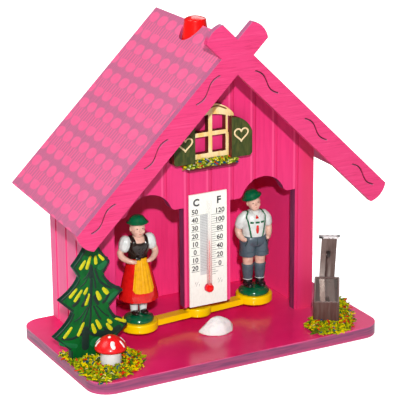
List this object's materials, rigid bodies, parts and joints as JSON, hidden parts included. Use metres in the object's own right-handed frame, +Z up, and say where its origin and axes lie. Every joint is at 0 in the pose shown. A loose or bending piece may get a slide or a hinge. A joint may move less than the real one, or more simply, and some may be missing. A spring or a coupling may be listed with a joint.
{
  "type": "weather house",
  "caption": "Painted wooden weather house: two figures on an arm hung from a gut string swing through twin doorways, with a card thermometer, pine tree, mushroom and fountain.",
  "frame": {"origin": "middle of the base board's outline, on its underside", "axes": "+Z up, -Y towards the front with the doorways, +X to the viewer's right"},
  "size_m": [0.15, 0.0806, 0.1471],
  "materials": {
    "base_paint": "glossy magenta lacquer on wood",
    "wall_paint": "satin pink paint over grooved boards",
    "roof_paint": "pink paint with a grey-mauve wash between painted tiles",
    "gable_paint": "satin pink paint, grain showing",
    "bare_wood": "bare sanded wood",
    "red_plastic": "glossy red moulding",
    "brass_metal": "drawn brass, dull",
    "gut": "twisted dried gut",
    "yellow_plastic": "glossy yellow moulding",
    "figure_paint": "hand-painted plastic, several colours",
    "scale_card": "white printed card",
    "clear_glass": "clear drawn glass",
    "red_spirit": "red dyed spirit",
    "cream_paint": "cream front, brown stained edges",
    "shutter_paint": "dark green paint with a cream heart",
    "shelf_paint": "dark brown-red stain",
    "flock": "yellow-green flock with coloured flecks",
    "tree_paint": "green paint with dark and yellow strokes",
    "white_paint": "white gloss paint",
    "cap_paint": "red gloss paint with white spots",
    "quartz": "broken white quartz",
    "brown_plastic": "brown moulding with wiped silver",
    "water": "smooth silvered water surface",
    "dark_plastic": "dark moulding",
    "silver": "silvered plate",
    "screw_steel": "zinc-plated steel"
  },
  "bodies": {
    "house": {"base_board": "base_paint", "front_wall": "wall_paint", "back_wall": "wall_paint", "left_wall": "wall_paint", "right_wall": "wall_paint", "left_roof_panel": "roof_paint", "right_roof_panel": "roof_paint", "gable_board": "gable_paint", "ridge_block": "bare_wood", "thermometer_card": "scale_card", "thermometer_tube": "clear_glass", "thermometer_column": "red_spirit", "window_frame": "cream_paint", "left_shutter": "shutter_paint", "right_shutter": "shutter_paint", "flower_shelf": "shelf_paint", "flower_tuft": "flock", "pine_tree": "tree_paint", "mushroom_stem": "white_paint", "mushroom_cap": "cap_paint", "left_turf": "flock", "right_turf": "flock", "white_stone": "quartz", "well_trough": "brown_plastic", "well_water": "water", "well_post": "brown_plastic", "well_spout": "dark_plastic", "well_cap": "silver", "base_screws": "screw_steel"},
    "adjuster": {"adjuster_knob": "red_plastic", "upper_ferrule": "brass_metal"},
    "swing_arm": {"figure_arm": "yellow_plastic", "woman_figure": "figure_paint", "man_figure": "figure_paint", "gut_string": "gut", "lower_ferrule": "brass_metal"}
  },
  "joints": [
    {"name": "adjuster_turn", "type": "hinge", "parent": "house", "child": "adjuster", "pos_m": [0, 0.003, 0.131], "axis": [0, 0, 1], "range_deg": [-12, 12]},
    {"name": "arm_swing", "type": "hinge", "parent": "adjuster", "child": "swing_arm", "pos_m": [0, 0.003, 0.0127], "axis": [0, 0, 1], "range_deg": [-37, 27], "stiffness_Nm_per_rad": 0.0005}
  ]
}
